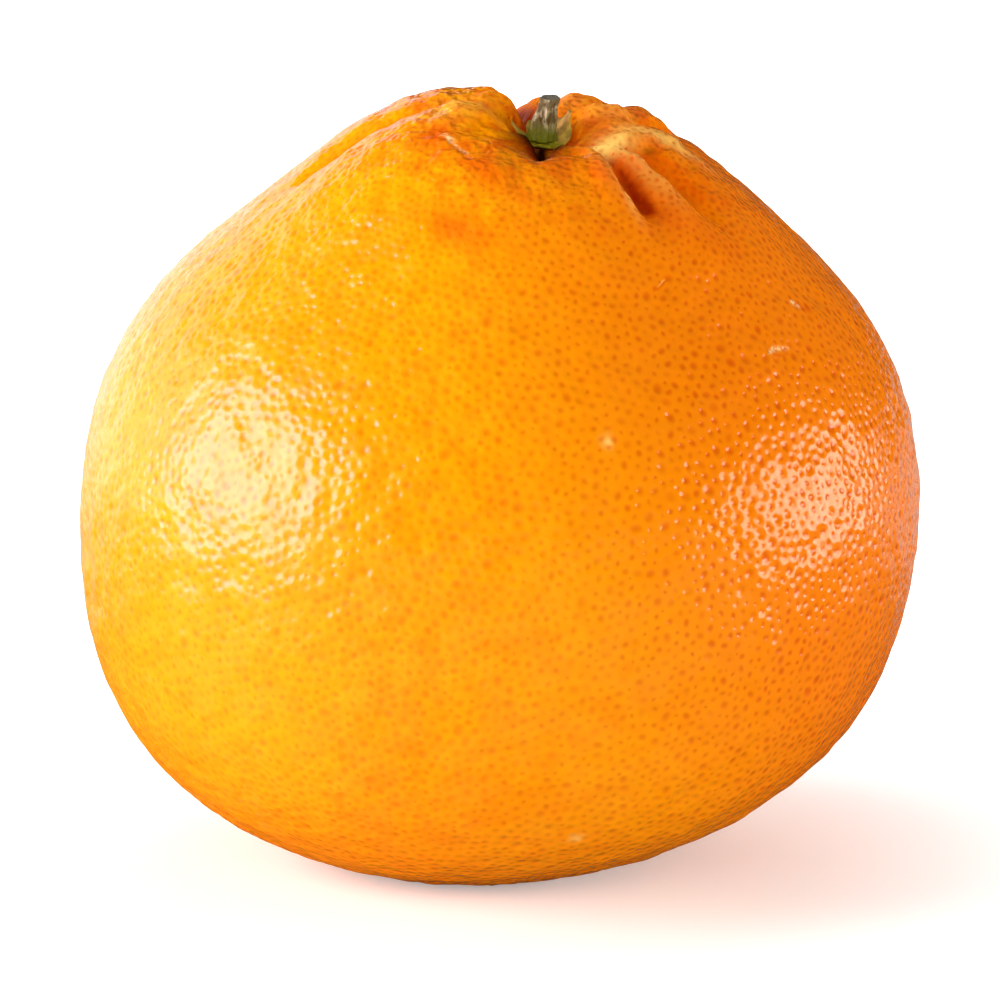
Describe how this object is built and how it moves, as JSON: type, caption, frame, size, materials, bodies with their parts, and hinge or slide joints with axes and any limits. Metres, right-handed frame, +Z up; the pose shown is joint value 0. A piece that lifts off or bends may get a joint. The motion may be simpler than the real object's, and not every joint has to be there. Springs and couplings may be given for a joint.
{
  "type": "orange",
  "caption": "Whole round orange with a lobed, furrowed neck, a calyx and a short cut stem; a fresh fruit that rests on a small flat spot.",
  "frame": {"origin": "centre of the small flat spot the fruit rests on", "axes": "+Z up, +X to the right and +Y to the back when the fruit is seen with its neck nodding forward; the front is -Y"},
  "size_m": [0.0904, 0.089, 0.0835],
  "materials": {
    "rind": "satin pebbled rind with oil glands",
    "calyx": "dry matt green and tan",
    "stem": "dry matt bark, streaked"
  },
  "bodies": {
    "root": {"fruit": "rind", "calyx": "calyx", "stem": "stem"}
  },
  "joints": []
}
